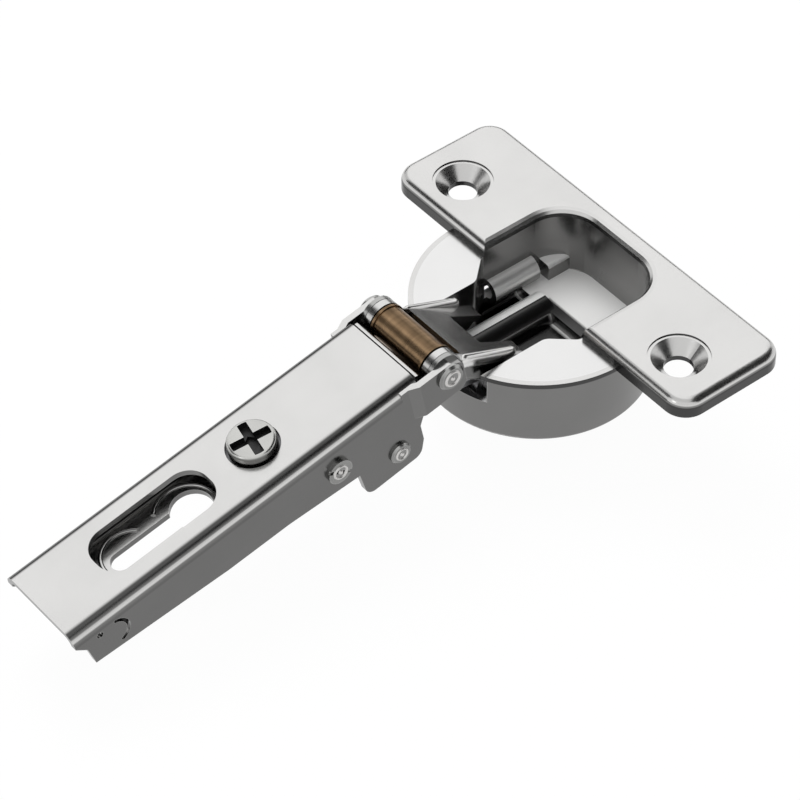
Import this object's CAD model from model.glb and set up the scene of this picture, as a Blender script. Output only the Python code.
"""Finishes and stage for a concealed cup hinge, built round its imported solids."""

from math import cos, hypot, pi, radians, sin, sqrt

import bmesh
import bpy
from bpy.props import FloatProperty, FloatVectorProperty, IntProperty, PointerProperty
from mathutils import Matrix, Vector


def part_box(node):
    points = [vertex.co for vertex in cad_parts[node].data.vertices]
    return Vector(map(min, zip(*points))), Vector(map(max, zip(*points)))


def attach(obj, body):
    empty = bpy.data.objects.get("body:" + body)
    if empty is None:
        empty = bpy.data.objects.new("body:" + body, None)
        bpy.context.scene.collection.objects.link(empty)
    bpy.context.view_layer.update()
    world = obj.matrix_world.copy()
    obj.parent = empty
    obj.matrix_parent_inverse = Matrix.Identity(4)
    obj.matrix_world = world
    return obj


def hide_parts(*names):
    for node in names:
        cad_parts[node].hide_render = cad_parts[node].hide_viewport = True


bl_info = {
    "name": "Concealed cup hinge",
    "version": (1, 0, 0),
    "blender": (4, 5, 0),
    "location": "View3D > Sidebar > Hinge",
    "description": "Plated finishes, screw thread and studio for a concealed cup hinge",
    "category": "Object",
}

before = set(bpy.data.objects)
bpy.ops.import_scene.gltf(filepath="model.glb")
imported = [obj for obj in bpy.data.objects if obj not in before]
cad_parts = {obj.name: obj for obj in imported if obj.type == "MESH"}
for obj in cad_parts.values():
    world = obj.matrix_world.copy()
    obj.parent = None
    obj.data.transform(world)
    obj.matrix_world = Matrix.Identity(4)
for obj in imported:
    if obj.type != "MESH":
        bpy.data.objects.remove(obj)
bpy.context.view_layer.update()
MM = 0.001
STUDIO_CENTRE = Vector((-30.0, 0.0, 0.0)) * MM
MERGE = 0.001 * MM
LEVEL_TOLERANCE = 0.01 * MM
SHARP_ANGLE = radians(35)

# the arm lies in its own frame: along it from the front edge, across it and up from its top face
ARM_TILT = radians(11.3)
ARM_FRONT = Vector((-28.0, 0.0, 7.6)) * MM
ALONG = Vector((-cos(ARM_TILT), 0.0, -sin(ARM_TILT)))
UPWARD = Vector((-sin(ARM_TILT), 0.0, cos(ARM_TILT)))
ACROSS = UPWARD.cross(ALONG)

# places in the cup where its finish changes, measured from the cup's axis and from the door's face
WELL_REACH = 16.4 * MM
SKIRT_REACH = 17.8 * MM
SATIN_DEPTH = 3.0 * MM
SATIN_FADE = 2.5 * MM
FLOOR_DEPTH = 8.6 * MM
FLOOR_FADE = 0.3 * MM
FRONT_END = 5.0 * MM
POCKET_END = 7.2 * MM
POCKET_DEPTH = 1.2 * MM
POCKET_FADE = 0.8 * MM
POCKET_HALF = 5.7 * MM
REAR_FADE = 0.5 * MM
RIM_END = -0.5 * MM

# scales of the noise, its stretch along each axis, and the relief and roughness that it gives
CLOUD_DETAIL = 4.0
GRAIN_DETAIL = 2.0
GRAIN_DEPTH = 0.02 * MM
PLATE_CLOUD = 90.0
PLATE_GRAIN = 2600.0
PLATE_STRETCH = (0.12, 1.0, 1.0)
PLATE_BUMP = 0.08
CLOUD_ROUGHNESS = 0.06
GRAIN_ROUGHNESS = 0.05
WELL_ROUGHNESS = 0.5
STEEL_CLOUD = 140.0
STEEL_GRAIN = 3200.0
STEEL_BUMP = 0.10
STEEL_ROUGHNESS = 0.07
COPPER_CLOUD = 260.0
COPPER_TURNS = 1500.0
COPPER_STRETCH = (0.15, 1.0, 0.15)
COPPER_BUMP = 0.15
COPPER_DEPTH = 0.03 * MM
COPPER_ROUGHNESS = (0.22, 0.36)

# worn edges: width, gain and how much of the bright colour shows
PLATE_EDGE = 0.25 * MM
PLATE_EDGE_GAIN = 1.6
PLATE_WEAR = 0.35
STEEL_EDGE = 0.2 * MM
STEEL_EDGE_GAIN = 1.8
WORN_GAIN = 1.6
OUTSIDE_SHARE = 0.85

# mottling of a finish, each a level of the noise and a brightness
PLATE_MOTTLE = ((0.25, 0.93), (0.75, 1.0))
STEEL_MOTTLE = ((0.2, 0.80), (0.8, 1.0))
COPPER_MOTTLE = ((0.2, 0.78), (0.8, 1.0))
COPPER_RINGS = ((0.35, 0.8), (0.65, 1.0))

# brightness steps, each a slope from 0 below to 1 above and a share from 0 to 1
COIL_BANDS = (
    (0.0, 0.7),
    (0.28, 1.0),
    (0.42, 0.55),
    (0.52, 0.42),
    (0.60, 0.60),
    (0.70, 1.0),
    (0.82, 0.9),
    (1.0, 0.4),
)
FLAT_SHARE = ((0.96, 0.0), (0.99, 0.5))
SATIN_SHARE = ((0.52, 0.08), (0.66, 0.40), (0.90, 0.40), (0.97, 1.0))
LIGHTER_SHARE = ((0.54, 0.06), (0.68, 0.95), (0.92, 0.95), (0.97, 0.60))
ABOVE_SHARE = ((0.30, 0.0), (0.42, 0.94))
UPRIGHT_SHARE = ((0.40, 0.0), (0.46, 1.0), (0.58, 1.0), (0.64, 0.0))

# places of the materials on the screw
HEAD_MATERIAL = 0
RECESS_MATERIAL = 1

# sides of the hinge and the way that each lies along Y
SIDES = (("right", -1.0), ("left", 1.0))

# how far feet are sunk into what they stand on, and shares of a ring's or a rim's own size
RING_FOOT = -0.05 * MM
THREAD_FOOT = 0.1 * MM
RING_INSIDE = 0.62
DOT_TOP = 0.6
BEAD_FLATNESS = 0.62
BEAD_STEPS = 6
RIM_FLATNESS = 0.8
RIM_STEPS = 8
RIM_SWEEP = radians(284)

# line of the front lip: forward of the arm's edge and above its top face, in millimetres
LIP_LINE = ((-0.2, -0.75), (0.25, -0.85), (0.55, -1.15), (0.65, -1.6), (0.65, -4.4))

# share of the floor's white that is its own, and the world's strength as light and where it is seen
FLOOR_GLOW = 0.96
WORLD_LIGHT = 0.85
WORLD_WHITE = 1.0
# distances from the studio's centre, in metres
LAMP_DISTANCE = 0.9
CARD_DISTANCE = 0.8
# name, azimuth and elevation in degrees, side in metres, watts, and whether metal shows it
LAMPS = (
    ("back_softbox", 75.0, 62.0, 0.5, 4.6, False),
    ("left_softbox", 178.0, 30.0, 0.25, 0.25, True),
)
# name, azimuth and elevation in degrees, width and height in metres
CARDS = (
    ("card_front", -32.0, 47.0, 1.15, 0.72),
    ("card_left", 131.0, 38.0, 0.42, 0.42),
    ("card_low", 52.0, 4.0, 1.10, 0.16),
)


# ---------------------------------------------------------------- settings
def length_prop(name, description, default):
    """A length in metres that a user can change."""
    return FloatProperty(
        name=name,
        description=description,
        default=default,
        subtype="DISTANCE",
        unit="LENGTH",
        precision=5,
    )


def angle_prop(name, description, default):
    """An angle that a user can change."""
    return FloatProperty(name=name, description=description, default=default, subtype="ANGLE")


def share_prop(name, description, default):
    """A share from 0 to 1 that a user can change."""
    return FloatProperty(
        name=name,
        description=description,
        default=default,
        subtype="FACTOR",
        min=0.0,
        max=1.0,
    )


def colour_prop(name, description, default):
    """A colour that a user can change."""
    return FloatVectorProperty(
        name=name,
        description=description,
        default=default,
        subtype="COLOR",
        min=0.0,
        max=1.0,
    )


def place_prop(name, description, default):
    """A place in metres that a user can change."""
    return FloatVectorProperty(
        name=name,
        description=description,
        default=default,
        size=len(default),
        subtype="XYZ",
        unit="LENGTH",
        precision=5,
    )


class HingeFinishSettings(bpy.types.PropertyGroup):
    """Colours and roughness of the plated pieces."""

    plate_colour: colour_prop("Nickel", "Colour of the nickel plating", (0.78, 0.775, 0.765))
    plate_shade: share_prop("Upright nickel", "Brightness of upright faces against flat ones", 0.17)
    cup_shade: share_prop("Upright cup", "Brightness of the cup's upright faces against flat ones", 0.23)
    plate_band: share_prop("Steep nickel", "Brightness of steep bends against flat faces", 0.12)
    link_band: share_prop("Steep link", "Brightness of the outer link's steep faces against flat ones", 0.60)
    cup_band: share_prop("Steep cup", "Brightness of the cup's steep faces against flat ones", 0.66)
    well_satin: share_prop("Satin floor", "How satin the floor of the cup is", 0.75)
    plate_roughness: share_prop("Nickel roughness", "Roughness of the plating", 0.22)
    rim_colour: colour_prop("Cup rim", "Colour of the half round rims of the cup", (0.95, 0.95, 0.95))
    satin_colour: colour_prop("Cup floor", "Colour of the satin floor of the cup", (0.95, 0.95, 0.94))
    pocket_colour: colour_prop("Cup pocket", "Colour of the deep front of the cup", (0.05, 0.05, 0.05))
    edge_colour: colour_prop("Flange edge", "Colour of the upright edge of the flange", (0.04, 0.04, 0.04))
    dark_colour: colour_prop("Dark steel", "Colour of the thinly plated inner link", (0.30, 0.30, 0.31))
    rivet_colour: colour_prop("Rivet steel", "Colour of pins, pivots and washers", (0.55, 0.55, 0.54))
    screw_colour: colour_prop("Screw zinc", "Colour of the zinc on the adjusting screw", (0.66, 0.66, 0.64))
    recess_colour: colour_prop("Screw recess", "Colour of the dark cross recess", (0.07, 0.07, 0.07))
    copper_colour: colour_prop("Copper coat", "Colour of the copper coated spring", (0.44, 0.29, 0.165))


class HingeScrewSettings(bpy.types.PropertyGroup):
    """Sizes of the adjusting screw."""

    place: length_prop("Place along the arm", "From the front edge of the arm to the screw", 23.9 * MM)
    head_radius: length_prop("Head radius", "Radius of the head", 3.6 * MM)
    head_top: length_prop("Head top", "Height of the head above the arm", 1.6 * MM)
    head_round: length_prop("Head rounding", "Rounding of the head's rim", 0.55 * MM)
    head_foot: length_prop("Head foot", "Underside of the head, below the arm's top face", -1.1 * MM)
    shank_radius: length_prop("Shank radius", "Radius over the thread", 2.5 * MM)
    shank_end: length_prop("Shank end", "End of the shank, below the arm's top face", -8.2 * MM)
    pitch: length_prop("Pitch", "Rise of the thread in one turn", 0.8 * MM)
    thread_depth: length_prop("Thread depth", "From the crest of the thread to its root", 0.4 * MM)
    cross_width: length_prop("Cross width", "Width of the arms of the cross recess", 1.45 * MM)
    cross_length: length_prop("Cross length", "Length of the cross recess from end to end", 6.1 * MM)
    cross_depth: length_prop("Cross depth", "Depth of the cross recess", 1.2 * MM)
    pit_half: length_prop("Pit", "Half width of the square pit in the middle of the cross", 1.05 * MM)
    cross_turn: angle_prop("Cross turn", "Turn of the cross recess from the arm's length", radians(-12.0))
    steps: IntProperty(
        name="Steps",
        description="Faces round the screw",
        default=72,
        min=12,
    )


class HingeTrimSettings(bpy.types.PropertyGroup):
    """Sizes of the rings on the rivets, the keyhole's rims, the arm's lip and the link's beads."""

    front_ring: length_prop("Front ring", "Radius of the ring on the ends of the front pin", 1.45 * MM)
    hook_ring: length_prop("Hook ring", "Radius of the ring on the ends of the hook pin", 1.15 * MM)
    pivot_ring: length_prop("Pivot ring", "Radius of the ring on the carrier's pivots", 1.3 * MM)
    ring_height: length_prop("Ring height", "How far a ring stands out from a rivet head", 0.16 * MM)
    dot_radius: length_prop("Dot radius", "Radius of the centre dot of a rivet head", 0.42 * MM)
    rim_half: length_prop("Rim half width", "Half the width of a pressed rim", 0.38 * MM)
    rear_place: length_prop("Rear rim place", "Middle of the rear rim along the arm", 46.4 * MM)
    rear_radius: length_prop("Rear rim radius", "Radius of the rear rim", 4.15 * MM)
    front_place: length_prop("Front rim place", "Middle of the front rim along the arm", 36.4 * MM)
    front_radius: length_prop("Front rim radius", "Radius of the front rim", 4.7 * MM)
    lip_width: length_prop("Lip width", "Width of the turned-down front lip of the arm", 13.6 * MM)
    lip_gauge: length_prop("Lip gauge", "Thickness of the front lip", 0.6 * MM)
    bead_half: length_prop("Bead", "Half the height of the rounded beads along the outer link", 1.2 * MM)
    bead_side: length_prop("Bead side", "From the middle of the hinge to a bead", 6.36 * MM)
    bead_shade: share_prop("Upright bead", "Brightness of the beads' upright faces against flat ones", 0.85)
    bead_band: share_prop("Steep bead", "Brightness of the beads' steep faces against flat ones", 0.95)
    bead_start: place_prop("Bead start", "X and Z of the beads' start, by the arm", (-18.9 * MM, 3.9 * MM))
    bead_end: place_prop("Bead end", "X and Z of the beads' end, over the cup", (-10.6 * MM, 0.35 * MM))


class HingeStageSettings(bpy.types.PropertyGroup):
    """Floor, light and camera."""

    floor_size: length_prop("Floor size", "Side of the square floor", 4.0)
    floor_drop: length_prop("Floor drop", "Room under the hinge for the cup when it is folded", 7.8 * MM)
    floor_colour: colour_prop("Floor", "Colour of the floor where it is lit", (0.86, 0.86, 0.86))
    azimuth: angle_prop("Azimuth", "Turn of the camera about the upright, from the front", radians(-38.579))
    elevation: angle_prop("Elevation", "Height of the camera above the level", radians(45.038))
    roll: angle_prop("Roll", "Turn of the camera about its own line of sight", radians(-0.386))
    distance: length_prop("Distance", "From the camera to the point that it looks at", 0.540)
    aim: place_prop("Aim", "Point that the camera looks at", (-0.021815, 0.004464, -0.010429))
    lens: FloatProperty(
        name="Lens",
        description="Focal length of the camera, in millimetres",
        default=167.94,
    )


# ---------------------------------------------------------------- materials
class Finish:
    """A metal material that is put together node by node."""

    def __init__(self, name):
        self.material = bpy.data.materials.new(name)
        self.material.use_nodes = True
        self.nodes = self.material.node_tree.nodes
        self.links = self.material.node_tree.links
        self.shader = self.nodes["Principled BSDF"]
        self.place = self.nodes.new("ShaderNodeTexCoord")

    def socket(self, target, value):
        """Links a socket or sets a plain value."""
        if isinstance(value, bpy.types.NodeSocket):
            self.links.new(value, target)
        else:
            target.default_value = value

    def math(self, operation, first, second, clamp=False):
        """One sum of two values."""
        node = self.nodes.new("ShaderNodeMath")
        node.operation = operation
        node.use_clamp = clamp
        self.socket(node.inputs[0], first)
        self.socket(node.inputs[1], second)
        return node.outputs[0]

    def noise(self, scale, detail, stretch=(1.0, 1.0, 1.0)):
        """Noise over the piece's own coordinates."""
        mapping = self.nodes.new("ShaderNodeMapping")
        mapping.inputs["Scale"].default_value = stretch
        self.links.new(self.place.outputs["Object"], mapping.inputs["Vector"])
        node = self.nodes.new("ShaderNodeTexNoise")
        node.inputs["Scale"].default_value = scale
        node.inputs["Detail"].default_value = detail
        self.links.new(mapping.outputs["Vector"], node.inputs["Vector"])
        return node.outputs["Fac"]

    def spread(self, value, low, high):
        """Stretches a value from 0 to 1 over low to high."""
        node = self.nodes.new("ShaderNodeMapRange")
        node.inputs["To Min"].default_value = low
        node.inputs["To Max"].default_value = high
        self.links.new(value, node.inputs["Value"])
        return node.outputs["Result"]

    def ramp(self, value, stops):
        """Smooth steps of brightness, each a position and a level."""
        node = self.nodes.new("ShaderNodeValToRGB")
        node.color_ramp.interpolation = "EASE"
        elements = node.color_ramp.elements
        while len(elements) < len(stops):
            elements.new(1.0)
        for element, (position, level) in zip(elements, stops):
            element.position = position
            element.color = (level, level, level, 1.0)
        self.links.new(value, node.inputs["Fac"])
        return node.outputs["Color"]

    def blend(self, share, first, second, mode="MIX"):
        """Mixes two colours; share is how much of the second there is."""
        node = self.nodes.new("ShaderNodeMix")
        node.data_type = "RGBA"
        node.blend_type = mode
        self.socket(node.inputs["Factor"], share)
        for name, colour in (("A", first), ("B", second)):
            if not isinstance(colour, bpy.types.NodeSocket):
                colour = (*colour, 1.0)
            self.socket(node.inputs[name], colour)
        return node.outputs["Result"]

    def slope(self, axis):
        """How far a face looks along an axis, from 0 against it to 1 with it."""
        split = self.nodes.new("ShaderNodeSeparateXYZ")
        self.links.new(self.place.outputs["Normal"], split.inputs["Vector"])
        node = self.nodes.new("ShaderNodeMapRange")
        node.inputs["From Min"].default_value = -1.0
        self.links.new(split.outputs[axis], node.inputs["Value"])
        return node.outputs["Result"]

    def edges(self, radius, gain):
        """Where the surface turns sharply, from 0 to 1."""
        rounded = self.nodes.new("ShaderNodeBevel")
        rounded.samples = 4
        rounded.inputs["Radius"].default_value = radius
        shape = self.nodes.new("ShaderNodeNewGeometry")
        dot = self.nodes.new("ShaderNodeVectorMath")
        dot.operation = "DOT_PRODUCT"
        self.links.new(rounded.outputs["Normal"], dot.inputs[0])
        self.links.new(shape.outputs["Normal"], dot.inputs[1])
        turned = self.math("SUBTRACT", 1.0, dot.outputs["Value"])
        return self.math("MULTIPLY", turned, gain, clamp=True)

    def ramp_over(self, value, start, length):
        """0 below start, then rising to 1 over a length."""
        return self.math("MULTIPLY", self.math("SUBTRACT", value, start), 1.0 / length, clamp=True)

    def product(self, first, *others):
        """All the values multiplied together."""
        for other in others:
            first = self.math("MULTIPLY", first, other)
        return first

    def rest_of(self, share):
        """What a share leaves of 1."""
        return self.math("SUBTRACT", 1.0, share)

    def cup_regions(self):
        """Masks of the cup: satin inside, dark front, outside of the skirt, and the side by the arm."""
        split = self.nodes.new("ShaderNodeSeparateXYZ")
        self.links.new(self.place.outputs["Object"], split.inputs["Vector"])
        along = split.outputs["X"]
        sideways = self.math("ABSOLUTE", split.outputs["Y"], 0.0)
        depth = self.math("MULTIPLY", split.outputs["Z"], -1.0)
        squares = self.math(
            "ADD",
            self.math("POWER", self.math("ABSOLUTE", along, 0.0), 2.0),
            self.math("POWER", sideways, 2.0),
        )
        within = self.math("LESS_THAN", squares, WELL_REACH**2)
        outside = self.math("GREATER_THAN", squares, SKIRT_REACH**2)
        deep = self.product(self.ramp_over(depth, SATIN_DEPTH, SATIN_FADE), within)
        floor = self.product(self.ramp_over(depth, FLOOR_DEPTH, FLOOR_FADE), within)
        front_floor = self.product(floor, self.rest_of(self.ramp_over(along, FRONT_END, REAR_FADE)))
        pocket = self.product(
            self.ramp_over(depth, POCKET_DEPTH, POCKET_FADE),
            within,
            self.math("LESS_THAN", sideways, POCKET_HALF),
            self.rest_of(floor),
            self.rest_of(self.ramp_over(along, POCKET_END, REAR_FADE)),
        )
        front = self.math("MAXIMUM", front_floor, pocket)
        satin = self.product(deep, self.rest_of(front))
        rim = self.product(self.rest_of(outside), self.math("LESS_THAN", along, RIM_END))
        return satin, front, outside, rim

    def bump(self, height, strength, distance):
        """Fine relief of the surface."""
        node = self.nodes.new("ShaderNodeBump")
        node.inputs["Strength"].default_value = strength
        node.inputs["Distance"].default_value = distance
        self.links.new(height, node.inputs["Height"])
        self.links.new(node.outputs["Normal"], self.shader.inputs["Normal"])

    def metal(self, colour, roughness):
        """Makes the shader a bare metal."""
        self.shader.inputs["Metallic"].default_value = 1.0
        self.socket(self.shader.inputs["Base Color"], colour)
        self.socket(self.shader.inputs["Roughness"], roughness)


def dress(nodes, material):
    """Gives a finish to solids of the frame."""
    for node in nodes:
        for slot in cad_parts[node].material_slots:
            slot.material = material


def plating(name, settings, shade, band):
    """Starts a nickel plating and returns its finish, slope, grain, colour and roughness.

    Shade is how bright upright faces are, and band how bright steep ones are, against flat ones.
    """
    finish = Finish(name)
    cloud = finish.noise(PLATE_CLOUD, CLOUD_DETAIL)
    grain = finish.noise(PLATE_GRAIN, GRAIN_DETAIL, PLATE_STRETCH)
    slope = finish.slope("Z")
    levels = finish.ramp(
        slope,
        (
            (0.0, 0.55),
            (0.40, shade + 0.08),
            (0.56, shade),
            (0.68, shade + 0.08),
            (0.74, 0.85),
            (0.79, 0.75),
            (0.84, band + 0.10),
            (0.91, band),
            (0.95, band),
            (0.985, 0.97),
            (1.0, 1.0),
        ),
    )
    mottle = finish.ramp(cloud, PLATE_MOTTLE)
    tone = finish.blend(1.0, settings.plate_colour, levels, "MULTIPLY")
    tone = finish.blend(1.0, tone, mottle, "MULTIPLY")
    worn = finish.product(finish.edges(PLATE_EDGE, PLATE_EDGE_GAIN), PLATE_WEAR)
    tone = finish.blend(worn, tone, settings.plate_colour)
    rough = finish.spread(
        cloud,
        settings.plate_roughness - CLOUD_ROUGHNESS,
        settings.plate_roughness + CLOUD_ROUGHNESS,
    )
    rough = finish.math("ADD", rough, finish.spread(grain, -GRAIN_ROUGHNESS, GRAIN_ROUGHNESS))
    return finish, slope, grain, tone, rough


def plate_finish(name, settings, shade, band):
    """Nickel plating on pressed steel."""
    finish, _, grain, tone, rough = plating(name, settings, shade, band)
    finish.metal(tone, rough)
    finish.bump(grain, PLATE_BUMP, GRAIN_DEPTH)
    return finish.material


def cup_finish(settings):
    """Nickel plating that is satin on the floor of the cup and dark in its deep front."""
    shade = settings.cup_shade
    finish, slope, grain, tone, rough = plating("cup_nickel", settings, shade, settings.cup_band)
    satin, front, outside, rim = finish.cup_regions()
    flat = finish.ramp(slope, FLAT_SHARE)
    tone = finish.blend(finish.product(rim, flat), tone, settings.rim_colour)
    deep = finish.product(satin, finish.ramp(slope, SATIN_SHARE))
    lighter = finish.ramp(slope, LIGHTER_SHARE)
    tone = finish.blend(finish.product(satin, lighter), tone, settings.satin_colour)
    above = finish.ramp(slope, ABOVE_SHARE)
    tone = finish.blend(finish.product(front, above), tone, settings.pocket_colour)
    upright = finish.ramp(slope, UPRIGHT_SHARE)
    tone = finish.blend(finish.product(outside, upright, OUTSIDE_SHARE), tone, settings.edge_colour)
    rough = finish.math("ADD", rough, finish.product(deep, WELL_ROUGHNESS * settings.well_satin))
    matt = finish.product(deep, settings.well_satin)
    finish.links.new(finish.rest_of(matt), finish.shader.inputs["Metallic"])
    finish.metal(tone, rough)
    finish.bump(grain, PLATE_BUMP, GRAIN_DEPTH)
    return finish.material


def steel_finish(name, colour, roughness, wear, shade=1.0):
    """Turned or pressed steel.

    Wear is how much the edges shine, and shade how bright upright faces are against flat ones.
    """
    finish = Finish(name)
    cloud = finish.noise(STEEL_CLOUD, CLOUD_DETAIL)
    grain = finish.noise(STEEL_GRAIN, GRAIN_DETAIL)
    mottle = finish.ramp(cloud, STEEL_MOTTLE)
    steps = ((0.0, 0.6), (0.42, shade), (0.64, shade), (0.88, 0.9), (1.0, 1.0))
    levels = finish.ramp(finish.slope("Z"), steps)
    tone = finish.blend(1.0, colour, mottle, "MULTIPLY")
    tone = finish.blend(1.0, tone, levels, "MULTIPLY")
    bright = tuple(min(1.0, channel * WORN_GAIN) for channel in colour)
    worn = finish.product(finish.edges(STEEL_EDGE, STEEL_EDGE_GAIN), wear)
    tone = finish.blend(worn, tone, bright)
    rough = finish.spread(cloud, roughness - STEEL_ROUGHNESS, roughness + STEEL_ROUGHNESS)
    finish.metal(tone, rough)
    finish.bump(grain, STEEL_BUMP, GRAIN_DEPTH)
    return finish.material


def copper_finish(settings):
    """Copper coat on the closely wound spring."""
    finish = Finish("copper_coat")
    cloud = finish.noise(COPPER_CLOUD, CLOUD_DETAIL)
    turns = finish.noise(COPPER_TURNS, GRAIN_DETAIL, COPPER_STRETCH)
    mottle = finish.ramp(cloud, COPPER_MOTTLE)
    tone = finish.blend(1.0, settings.copper_colour, mottle, "MULTIPLY")
    rings = finish.ramp(turns, COPPER_RINGS)
    across = finish.ramp(finish.slope("X"), COIL_BANDS)
    tone = finish.blend(1.0, tone, across, "MULTIPLY")
    tone = finish.blend(1.0, tone, rings, "MULTIPLY")
    rough = finish.spread(cloud, *COPPER_ROUGHNESS)
    finish.metal(tone, rough)
    finish.bump(turns, COPPER_BUMP, COPPER_DEPTH)
    return finish.material


# ---------------------------------------------------------------- shapes
def turned(profile, steps, angle=2 * pi, rise=0.0):
    """A closed bmesh made by turning a profile of (radius, height) points about the upright."""
    shape = bmesh.new()
    points = [shape.verts.new((radius, 0.0, height)) for radius, height in profile]
    lines = [shape.edges.new(pair) for pair in zip(points, points[1:])]
    bmesh.ops.spin(
        shape,
        geom=points + lines,
        cent=(0, 0, 0),
        axis=(0, 0, 1),
        dvec=(0, 0, rise / steps),
        angle=angle,
        steps=steps,
        use_merge=rise == 0.0 and angle == 2 * pi,
        use_normal_flip=False,
        use_duplicate=False,
    )
    bmesh.ops.remove_doubles(shape, verts=shape.verts, dist=MERGE)
    bmesh.ops.edgeloop_fill(shape, edges=[edge for edge in shape.edges if edge.is_boundary])
    bmesh.ops.recalc_face_normals(shape, faces=shape.faces)
    return shape


def corner_arc(radius, top, rounding, steps=5):
    """Points of a rounded rim, from its top to its side."""
    centre = radius - rounding
    turns = [pi / 2 * step / steps for step in range(steps + 1)]
    return [(centre + rounding * sin(turn), top - rounding + rounding * cos(turn)) for turn in turns]


def meshed(shape, name):
    """Turns a bmesh into a mesh and lets go of it."""
    mesh = bpy.data.meshes.new(name)
    shape.to_mesh(mesh)
    shape.free()
    return mesh


def join(shape, other):
    """Adds a second bmesh to the first."""
    holder = meshed(other, "holder")
    shape.from_mesh(holder)
    bpy.data.meshes.remove(holder)


def finished(shape, name, place, body, materials):
    """Puts a bmesh in place as a piece of the hinge."""
    bmesh.ops.transform(shape, matrix=place, verts=shape.verts)
    mesh = meshed(shape, name)
    mesh.polygons.foreach_set("use_smooth", [True] * len(mesh.polygons))
    mesh.set_sharp_from_angle(angle=SHARP_ANGLE)
    for material in materials:
        mesh.materials.append(material)
    piece = bpy.data.objects.new(name, mesh)
    bpy.context.scene.collection.objects.link(piece)
    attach(piece, body)
    return piece


def upright_at(origin, first, up):
    """Placement whose own X and Z axes are the given ones."""
    second = up.cross(first)
    turn = Matrix((first, second, up)).transposed().to_4x4()
    return Matrix.Translation(origin) @ turn


def cut_cross(shape, settings):
    """Sinks the cross recess and its pit into the flat top of the head."""
    half_width = settings.cross_width / 2
    half_length = settings.cross_length / 2
    for axis in (Vector((1, 0, 0)), Vector((0, 1, 0))):
        for offset in (-half_length, -half_width, half_width, half_length):
            split_top(shape, axis, offset, settings.head_top)
    top = level_faces(shape, settings.head_top)
    arms = [face for face in top if in_cross(face, half_width, half_length)]
    sink(shape, arms, settings.cross_depth)
    floor = settings.head_top - settings.cross_depth
    for axis in (Vector((1, 1, 0)).normalized(), Vector((1, -1, 0)).normalized()):
        for offset in (-settings.pit_half, settings.pit_half):
            split_top(shape, axis, offset, floor)
    pit = [face for face in level_faces(shape, floor) if in_pit(face, settings.pit_half)]
    sink(shape, pit, settings.cross_depth / 2)
    bmesh.ops.recalc_face_normals(shape, faces=shape.faces)
    lowest = floor - settings.cross_depth
    highest = settings.head_top - LEVEL_TOLERANCE
    for face in shape.faces:
        centre = face.calc_center_median()
        in_recess = hypot(centre.x, centre.y) < half_length and lowest < centre.z < highest
        face.material_index = RECESS_MATERIAL if in_recess else HEAD_MATERIAL


def level_faces(shape, height):
    """The flat faces at one height."""
    return [
        face for face in shape.faces if all(abs(v.co.z - height) < LEVEL_TOLERANCE for v in face.verts)
    ]


def split_top(shape, axis, offset, height):
    """Cuts the flat faces at one height along a line."""
    faces = level_faces(shape, height)
    parts = {*faces, *(e for f in faces for e in f.edges), *(v for f in faces for v in f.verts)}
    bmesh.ops.bisect_plane(shape, geom=list(parts), dist=MERGE, plane_co=axis * offset, plane_no=axis)


def in_cross(face, half_width, half_length):
    """Whether a face lies within the two arms of the cross."""
    centre = face.calc_center_median()
    short = min(abs(centre.x), abs(centre.y))
    long = max(abs(centre.x), abs(centre.y))
    return short < half_width and long < half_length


def in_pit(face, half):
    """Whether a face lies within the square pit, whose sides run at 45 degrees to the cross."""
    centre = face.calc_center_median()
    reach = half * sqrt(2)
    return abs(centre.x + centre.y) < reach and abs(centre.x - centre.y) < reach


def sink(shape, faces, depth):
    """Presses faces down by a depth."""
    made = bmesh.ops.extrude_face_region(shape, geom=faces)["geom"]
    lowered = [part for part in made if isinstance(part, bmesh.types.BMVert)]
    bmesh.ops.translate(shape, verts=lowered, vec=(0, 0, -depth))
    bmesh.ops.delete(shape, geom=faces, context="FACES")


# ---------------------------------------------------------------- operators
class HINGE_OT_plate(bpy.types.Operator):
    """Bright nickel on the cup, the arm, its carrier and the outer link"""

    bl_idname = "hinge.plate"
    bl_label = "Plate the pressed pieces"

    def execute(self, context):
        settings = context.scene.hinge_finish
        arm = plate_finish("bright_nickel", settings, settings.plate_shade, settings.plate_band)
        dress(("arm_cover", "arm_carrier", "carrier_nut"), arm)
        link = plate_finish("link_nickel", settings, settings.plate_shade, settings.link_band)
        dress(("outer_link",), link)
        dress(("hinge_cup",), cup_finish(settings))
        return {"FINISHED"}


class HINGE_OT_rivets(bpy.types.Operator):
    """Plain steel on the pins, washers, pivots and the inner link"""

    bl_idname = "hinge.rivets"
    bl_label = "Finish pins and links"

    def execute(self, context):
        settings = context.scene.hinge_finish
        colour = tuple(settings.rivet_colour)
        rivets = steel_finish("rivet_steel", colour, roughness=0.26, wear=0.5, shade=0.5)
        dress(
            (
                "outer_link_cup_pin_left",
                "outer_link_cup_pin_right",
                "inner_link_cup_pin",
                "front_arm_pin",
                "front_washer_left",
                "front_washer_right",
                "spring_sleeve",
                "hook_pin",
                "hook_spacer_left",
                "hook_spacer_right",
                "carrier_pivot_left",
                "carrier_pivot_right",
            ),
            rivets,
        )
        dark = steel_finish("dark_steel", tuple(settings.dark_colour), roughness=0.38, wear=0.35)
        dress(("inner_link", "screw_seat_ring"), dark)
        return {"FINISHED"}


class HINGE_OT_spring(bpy.types.Operator):
    """Copper coat on the closing spring"""

    bl_idname = "hinge.spring"
    bl_label = "Coat the spring"

    def execute(self, context):
        dress(("closing_spring",), copper_finish(context.scene.hinge_finish))
        return {"FINISHED"}


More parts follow.
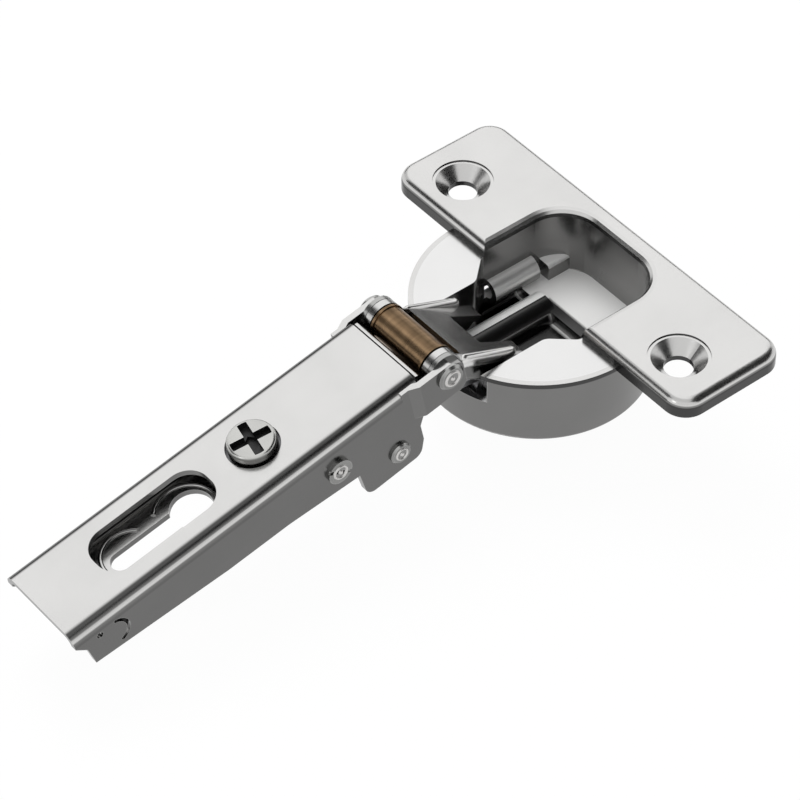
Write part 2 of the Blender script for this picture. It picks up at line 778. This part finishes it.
class HINGE_OT_screw(bpy.types.Operator):
    """Adjusting screw with its cross recess and thread"""

    bl_idname = "hinge.screw"
    bl_label = "Turn the adjusting screw"

    def execute(self, context):
        settings = context.scene.hinge_screw
        colours = context.scene.hinge_finish
        foot = settings.head_foot
        root = settings.shank_radius - settings.thread_depth
        end = settings.shank_end
        profile = corner_arc(settings.head_radius, settings.head_top, settings.head_round)
        profile += [(settings.head_radius, foot), (root, foot), (root, end), (0.0, end)]
        shape = turned(profile, settings.steps)
        cut_cross(shape, settings)
        add_thread(shape, settings, root)
        first = ALONG * cos(settings.cross_turn) + ACROSS * sin(settings.cross_turn)
        place = upright_at(ARM_FRONT + ALONG * settings.place, first, UPWARD)
        colour = tuple(colours.screw_colour)
        zinc = steel_finish("screw_zinc", colour, roughness=0.24, wear=0.5, shade=0.3)
        colour = tuple(colours.recess_colour)
        recess = steel_finish("screw_recess", colour, roughness=0.4, wear=0.2)
        screw = finished(shape, "cross_recess_screw", place, "screw", (zinc, recess))
        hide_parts("adjusting_screw")
        return {"FINISHED"}


def add_thread(shape, settings, root):
    """Winds the thread round the shank."""
    turns = int((settings.head_foot - settings.shank_end) / settings.pitch) - 1
    start = settings.shank_end + 0.25 * settings.pitch
    half = 0.45 * settings.pitch
    crest = 0.10 * settings.pitch
    inner = root - THREAD_FOOT
    ridge = [
        (inner, start - half),
        (settings.shank_radius, start - crest),
        (settings.shank_radius, start + crest),
        (inner, start + half),
        (inner, start - half),
    ]
    thread = turned(ridge, settings.steps * turns, angle=2 * pi * turns, rise=settings.pitch * turns)
    join(shape, thread)


class HINGE_OT_rings(bpy.types.Operator):
    """Rings and centre dots on the ends of the rivets"""

    bl_idname = "hinge.rings"
    bl_label = "Ring the rivets"

    def execute(self, context):
        settings = context.scene.hinge_trim
        rivets = bpy.data.materials["rivet_steel"]
        for side, sign in SIDES:
            for node, outer in (
                ("front_arm_pin", settings.front_ring),
                ("hook_pin", settings.hook_ring),
            ):
                add_rivet_ring(f"{node}_ring_{side}", rivet_end(node, sign), outer, settings, rivets)
            pivot = f"carrier_pivot_{side}"
            add_rivet_ring(f"{pivot}_ring", rivet_end(pivot, sign), settings.pivot_ring, settings, rivets)
        return {"FINISHED"}


def rivet_end(node, sign):
    """Middle of the end face of a rivet, on the left where sign is positive."""
    low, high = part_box(node)
    centre = (low + high) / 2
    centre.y = high.y if sign > 0 else low.y
    return centre


def add_rivet_ring(name, centre, outer, settings, material):
    """A raised ring and a centre dot on the flat end of a rivet."""
    height = settings.ring_height
    foot = RING_FOOT
    inner = RING_INSIDE * outer
    dot_radius = settings.dot_radius
    shape = turned(
        [
            (inner, foot),
            (inner + height, height),
            (outer - height, height),
            (outer, foot),
            (inner, foot),
        ],
        steps=48,
    )
    middle = [(0.0, height), (dot_radius * DOT_TOP, height), (dot_radius, foot), (0.0, foot)]
    dot = turned(middle, steps=24)
    join(shape, dot)
    outward = Vector((0, 1, 0)) if centre.y > 0 else Vector((0, -1, 0))
    place = upright_at(centre, Vector((1, 0, 0)), outward)
    finished(shape, name, place, "arm", (material,))


class HINGE_OT_lip(bpy.types.Operator):
    """The edge of the arm that turns down behind the spring"""

    bl_idname = "hinge.lip"
    bl_label = "Turn down the arm's front"

    def execute(self, context):
        add_front_lip(context.scene.hinge_trim, bpy.data.materials["bright_nickel"])
        return {"FINISHED"}


def add_front_lip(settings, material):
    """The edge of the arm that turns down behind the spring."""
    shape = bmesh.new()
    corner = ARM_FRONT - ACROSS * settings.lip_width / 2
    points = [
        shape.verts.new(corner - ALONG * (forward * MM) + UPWARD * (height * MM))
        for forward, height in LIP_LINE
    ]
    edges = [shape.edges.new(pair) for pair in zip(points, points[1:])]
    made = bmesh.ops.extrude_edge_only(shape, edges=edges)["geom"]
    moved = [part for part in made if isinstance(part, bmesh.types.BMVert)]
    bmesh.ops.translate(shape, verts=moved, vec=ACROSS * settings.lip_width)
    bmesh.ops.recalc_face_normals(shape, faces=shape.faces)
    bmesh.ops.solidify(shape, geom=shape.faces, thickness=settings.lip_gauge)
    bmesh.ops.recalc_face_normals(shape, faces=shape.faces)
    finished(shape, "arm_front_lip", Matrix.Identity(4), "arm", (material,))


class HINGE_OT_beads(bpy.types.Operator):
    """Rounded beads along both side strips of the outer link"""

    bl_idname = "hinge.beads"
    bl_label = "Round the outer link"

    def execute(self, context):
        settings = context.scene.hinge_trim
        finish = context.scene.hinge_finish
        bead = plate_finish("bead_nickel", finish, settings.bead_shade, settings.bead_band)
        for side, sign in SIDES:
            add_link_bead(f"outer_link_bead_{side}", sign, settings, bead)
        return {"FINISHED"}


def add_link_bead(name, sign, settings, material):
    """The rounded edge along one side strip of the outer link."""
    start = Vector((settings.bead_start[0], sign * settings.bead_side, settings.bead_start[1]))
    end = Vector((settings.bead_end[0], sign * settings.bead_side, settings.bead_end[1]))
    half = settings.bead_half
    reach = (end - start).length
    turns = [pi / 2 * step / BEAD_STEPS for step in range(BEAD_STEPS + 1)]
    ball = [(half * cos(turn), half * sin(turn)) for turn in turns]
    profile = [(radius, -height) for radius, height in reversed(ball)]
    profile += [(radius, reach + height) for radius, height in ball]
    shape = turned(profile, steps=32)
    bmesh.ops.scale(shape, vec=(1.0, BEAD_FLATNESS, 1.0), verts=shape.verts)
    along = (end - start).normalized()
    place = upright_at(start, Vector((0, 1, 0)).cross(along), along)
    finished(shape, name, place, "outer_link", (material,))


class HINGE_OT_rims(bpy.types.Operator):
    """Pressed rims round both ends of the keyhole in the carrier"""

    bl_idname = "hinge.rims"
    bl_label = "Press the keyhole's rims"

    def execute(self, context):
        settings = context.scene.hinge_trim
        plate = bpy.data.materials["bright_nickel"]
        heights = [vertex.co.dot(UPWARD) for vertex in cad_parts["arm_carrier"].data.vertices]
        web_top = max(heights) - ARM_FRONT.dot(UPWARD)
        for name, place, radius, middle in (
            ("keyhole_rim_rear", settings.rear_place, settings.rear_radius, 0.0),
            ("keyhole_rim_front", settings.front_place, settings.front_radius, pi),
        ):
            centre = ARM_FRONT + ALONG * place + UPWARD * web_top
            add_keyhole_rim(name, centre, radius, middle, settings.rim_half, plate)
        return {"FINISHED"}


def add_keyhole_rim(name, centre, radius, middle, half, material):
    """A pressed rim, round in section, along three quarters of a circle."""
    turns = [pi * step / RIM_STEPS for step in range(RIM_STEPS + 1)]
    section = [(radius + half * cos(turn), half * RIM_FLATNESS * sin(turn)) for turn in turns]
    section.append(section[0])
    shape = turned(section, steps=56, angle=RIM_SWEEP)
    swing = Matrix.Rotation(middle - RIM_SWEEP / 2, 3, "Z")
    bmesh.ops.rotate(shape, verts=shape.verts, cent=(0, 0, 0), matrix=swing)
    finished(shape, name, upright_at(centre, ALONG, UPWARD), "carrier", (material,))


class HINGE_OT_stage(bpy.types.Operator):
    """Floor, light and camera"""

    bl_idname = "hinge.stage"
    bl_label = "Set the stage"

    def execute(self, context):
        settings = context.scene.hinge_stage
        add_floor(settings)
        add_world(context.scene)
        add_lights()
        add_flags()
        add_camera(context.scene, settings)
        context.scene.view_settings.view_transform = "Standard"
        return {"FINISHED"}


# ---------------------------------------------------------------- stage
def direction(azimuth, elevation):
    """Unit vector from the hinge, azimuth in degrees from +X and elevation above the level."""
    a = radians(azimuth)
    e = radians(elevation)
    return Vector((cos(e) * cos(a), cos(e) * sin(a), sin(e)))


def facing(place):
    """Placement whose own -Z axis looks from a place at the studio's centre."""
    turn = (STUDIO_CENTRE - place).to_track_quat("-Z", "Y").to_matrix().to_4x4()
    return Matrix.Translation(place) @ turn


def plain_view_mask(nodes, links):
    """1 for camera, glossy and transmission rays, and 0 for the rest."""
    path = nodes.new("ShaderNodeLightPath")
    either = nodes.new("ShaderNodeMath")
    either.operation = "MAXIMUM"
    links.new(path.outputs["Is Camera Ray"], either.inputs[0])
    links.new(path.outputs["Is Glossy Ray"], either.inputs[1])
    every = nodes.new("ShaderNodeMath")
    every.operation = "MAXIMUM"
    links.new(either.outputs[0], every.inputs[0])
    links.new(path.outputs["Is Transmission Ray"], every.inputs[1])
    return every.outputs[0]


def add_floor(settings):
    """A white floor that keeps a little of the hinge's shadow."""
    lowest = min(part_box(node)[0].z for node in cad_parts)
    shape = bmesh.new()
    bmesh.ops.create_grid(shape, x_segments=1, y_segments=1, size=settings.floor_size / 2)
    bmesh.ops.translate(shape, verts=shape.verts, vec=(0, 0, lowest - settings.floor_drop))
    floor = bpy.data.objects.new("floor", meshed(shape, "floor"))
    bpy.context.scene.collection.objects.link(floor)
    material = bpy.data.materials.new("pale_floor")
    material.use_nodes = True
    nodes = material.node_tree.nodes
    links = material.node_tree.links
    shader = nodes["Principled BSDF"]
    shader.inputs["Base Color"].default_value = (*settings.floor_colour, 1.0)
    shader.inputs["Roughness"].default_value = 0.8
    shader.inputs["Specular IOR Level"].default_value = 0.2
    glow = nodes.new("ShaderNodeEmission")
    glow.inputs["Color"].default_value = (1, 1, 1, 1)
    share = nodes.new("ShaderNodeMath")
    share.operation = "MULTIPLY"
    share.inputs[1].default_value = FLOOR_GLOW
    links.new(plain_view_mask(nodes, links), share.inputs[0])
    mix = nodes.new("ShaderNodeMixShader")
    links.new(share.outputs[0], mix.inputs["Fac"])
    links.new(shader.outputs["BSDF"], mix.inputs[1])
    links.new(glow.outputs["Emission"], mix.inputs[2])
    links.new(mix.outputs["Shader"], nodes["Material Output"].inputs["Surface"])
    floor.data.materials.append(material)


def add_world(scene):
    """Soft light from all round, and plain white where it is seen or mirrored."""
    world = bpy.data.worlds.new("studio")
    world.use_nodes = True
    scene.world = world
    nodes = world.node_tree.nodes
    links = world.node_tree.links
    soft = nodes["Background"]
    soft.inputs["Color"].default_value = (1, 1, 1, 1)
    soft.inputs["Strength"].default_value = WORLD_LIGHT
    plain = nodes.new("ShaderNodeBackground")
    plain.inputs["Color"].default_value = (1, 1, 1, 1)
    plain.inputs["Strength"].default_value = WORLD_WHITE
    mix = nodes.new("ShaderNodeMixShader")
    links.new(plain_view_mask(nodes, links), mix.inputs["Fac"])
    links.new(soft.outputs["Background"], mix.inputs[1])
    links.new(plain.outputs["Background"], mix.inputs[2])
    links.new(mix.outputs["Shader"], nodes["World Output"].inputs["Surface"])


def add_lights():
    """Soft lamps behind the hinge and to its left."""
    for name, azimuth, elevation, side, power, shown in LAMPS:
        lamp = bpy.data.lights.new(name, "AREA")
        lamp.shape = "SQUARE"
        lamp.size = side
        lamp.energy = power
        lit = bpy.data.objects.new(name, lamp)
        lit.matrix_world = facing(STUDIO_CENTRE + direction(azimuth, elevation) * LAMP_DISTANCE)
        lit.visible_glossy = shown
        bpy.context.scene.collection.objects.link(lit)


def add_flags():
    """Dark cards that metal shows as its dark bands."""
    material = bpy.data.materials.new("black_card")
    material.use_nodes = True
    shader = material.node_tree.nodes["Principled BSDF"]
    shader.inputs["Base Color"].default_value = (0.02, 0.02, 0.02, 1.0)
    shader.inputs["Roughness"].default_value = 1.0
    for name, azimuth, elevation, width, height in CARDS:
        shape = bmesh.new()
        bmesh.ops.create_grid(shape, x_segments=1, y_segments=1, size=0.5)
        bmesh.ops.scale(shape, vec=(width, height, 1.0), verts=shape.verts)
        place = facing(STUDIO_CENTRE + direction(azimuth, elevation) * CARD_DISTANCE)
        bmesh.ops.transform(shape, matrix=place, verts=shape.verts)
        mesh = meshed(shape, name)
        mesh.materials.append(material)
        card = bpy.data.objects.new(name, mesh)
        card.visible_camera = False
        card.visible_diffuse = False
        card.visible_shadow = False
        bpy.context.scene.collection.objects.link(card)


def add_camera(scene, settings):
    """Camera that looks down along the arm."""
    back = Vector(
        (
            sin(settings.azimuth) * cos(settings.elevation),
            -cos(settings.azimuth) * cos(settings.elevation),
            sin(settings.elevation),
        )
    )
    right = Vector((0, 0, 1)).cross(back).normalized()
    up = back.cross(right)
    level = right * cos(settings.roll) + up * sin(settings.roll)
    upward = back.cross(level)
    turn = Matrix((level, upward, back)).transposed().to_4x4()
    lens = bpy.data.cameras.new("camera")
    lens.lens = settings.lens
    camera = bpy.data.objects.new("camera", lens)
    camera.matrix_world = Matrix.Translation(Vector(settings.aim) + back * settings.distance) @ turn
    scene.collection.objects.link(camera)
    scene.camera = camera


# ---------------------------------------------------------------- panel and run
class HINGE_PT_panel(bpy.types.Panel):
    """Steps and settings of the hinge"""

    bl_label = "Cup hinge"
    bl_idname = "HINGE_PT_panel"
    bl_space_type = "VIEW_3D"
    bl_region_type = "UI"
    bl_category = "Hinge"

    def draw(self, context):
        scene = context.scene
        for settings in (scene.hinge_finish, scene.hinge_screw, scene.hinge_trim, scene.hinge_stage):
            box = self.layout.box()
            for name in settings.__annotations__:
                box.prop(settings, name)
        for step in STEPS:
            self.layout.operator(step.bl_idname)


SETTINGS = (HingeFinishSettings, HingeScrewSettings, HingeTrimSettings, HingeStageSettings)
STEPS = (
    HINGE_OT_plate,
    HINGE_OT_rivets,
    HINGE_OT_spring,
    HINGE_OT_screw,
    HINGE_OT_rings,
    HINGE_OT_lip,
    HINGE_OT_beads,
    HINGE_OT_rims,
    HINGE_OT_stage,
)


def register():
    for kind in (*SETTINGS, *STEPS, HINGE_PT_panel):
        bpy.utils.register_class(kind)
    bpy.types.Scene.hinge_finish = PointerProperty(type=HingeFinishSettings)
    bpy.types.Scene.hinge_screw = PointerProperty(type=HingeScrewSettings)
    bpy.types.Scene.hinge_trim = PointerProperty(type=HingeTrimSettings)
    bpy.types.Scene.hinge_stage = PointerProperty(type=HingeStageSettings)


def unregister():
    del bpy.types.Scene.hinge_stage
    del bpy.types.Scene.hinge_trim
    del bpy.types.Scene.hinge_screw
    del bpy.types.Scene.hinge_finish
    for kind in reversed((*SETTINGS, *STEPS, HINGE_PT_panel)):
        bpy.utils.unregister_class(kind)


def main():
    register()
    bpy.ops.hinge.plate()
    bpy.ops.hinge.rivets()
    bpy.ops.hinge.spring()
    bpy.ops.hinge.screw()
    bpy.ops.hinge.rings()
    bpy.ops.hinge.lip()
    bpy.ops.hinge.beads()
    bpy.ops.hinge.rims()
    bpy.ops.hinge.stage()


if __name__ == "__main__":
    main()
